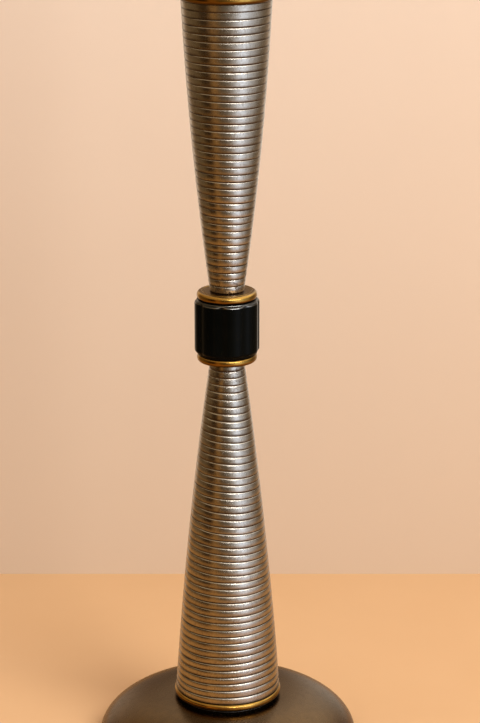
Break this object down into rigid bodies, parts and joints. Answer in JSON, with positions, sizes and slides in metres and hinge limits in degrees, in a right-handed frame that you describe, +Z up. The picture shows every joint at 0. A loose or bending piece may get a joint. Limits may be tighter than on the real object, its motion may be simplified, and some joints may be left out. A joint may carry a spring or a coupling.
{
  "type": "torchiere floor lamp",
  "caption": "Floor lamp with a domed dark base, a column of tapered strip-wound cones joined by black lobed knops and brass rings, and an uplight bowl.",
  "frame": {"origin": "on the floor, under the centre of the base", "axes": "+Z up along the column, -Y towards the front, where the switch key is"},
  "size_m": [0.3844, 0.3844, 1.7539],
  "materials": {
    "felt": "dark felt",
    "zinc_steel": "plain zinc-coated steel",
    "dark_bronze": "dark brown-grey patinated bronze, satin",
    "ballast_iron": "rough cast iron with black paint",
    "aged_brass": "aged brass, softly polished",
    "gland_rubber": "matt black rubber",
    "nickel_strip": "aged nickel with fine brush marks round the cone",
    "black_gloss": "polished black",
    "switch_plastic": "moulded brown-black plastic",
    "white_enamel": "satin white enamel on spun aluminium",
    "porcelain": "white porcelain",
    "cap_metal": "thin nickelled cap",
    "opal_glass": "opal glass",
    "lead_sheath": "dark lead sheath"
  },
  "bodies": {
    "lamp": {"base_pad": "felt", "base_plate": "zinc_steel", "plate_screws": "zinc_steel", "base_shell": "dark_bronze", "base_weight": "ballast_iron", "base_seat": "ballast_iron", "base_ring": "aged_brass", "cord_gland": "gland_rubber", "foot_washer": "zinc_steel", "foot_nut": "zinc_steel", "lower_tube": "zinc_steel", "middle_tube": "zinc_steel", "upper_tube": "zinc_steel", "lower_coupler": "zinc_steel", "upper_coupler": "zinc_steel", "cone1_core": "zinc_steel", "cone1_winding": "nickel_strip", "cone1_plate": "zinc_steel", "cone2_core": "zinc_steel", "cone2_winding": "nickel_strip", "cone2_plate": "zinc_steel", "cone3_core": "zinc_steel", "cone3_winding": "nickel_strip", "cone3_plate": "zinc_steel", "cone4_core": "zinc_steel", "cone4_winding": "nickel_strip", "cone4_plate": "zinc_steel", "lower_knop": "black_gloss", "upper_knop": "black_gloss", "lower_knop_collar_below": "aged_brass", "lower_knop_collar_above": "aged_brass", "upper_knop_collar_below": "aged_brass", "upper_knop_collar_above": "aged_brass", "mid_ring": "aged_brass", "top_ring": "aged_brass", "switch_housing": "aged_brass", "switch_body": "switch_plastic", "top_nut": "zinc_steel", "gallery": "aged_brass", "seat_washer": "felt", "socket_base": "porcelain", "socket_sleeve": "aged_brass", "socket_shell": "zinc_steel", "socket_contact": "aged_brass", "bulb_cap": "cap_metal", "bulb_glass": "opal_glass", "bulb_tip": "zinc_steel", "inner_lead": "lead_sheath"},
    "key": {"switch_shaft": "aged_brass", "switch_key": "aged_brass"},
    "bowl": {"bowl": "dark_bronze", "bowl_rim": "aged_brass", "reflector": "white_enamel"}
  },
  "joints": [
    {"name": "key_turn", "type": "hinge", "parent": "lamp", "child": "key", "pos_m": [0, -0.022, 1.591], "axis": [0, -1, 0], "continuous": true},
    {"name": "bowl_lift", "type": "slide", "parent": "lamp", "child": "bowl", "axis": [0, 0, 1], "range_m": [0, 0.15]}
  ]
}
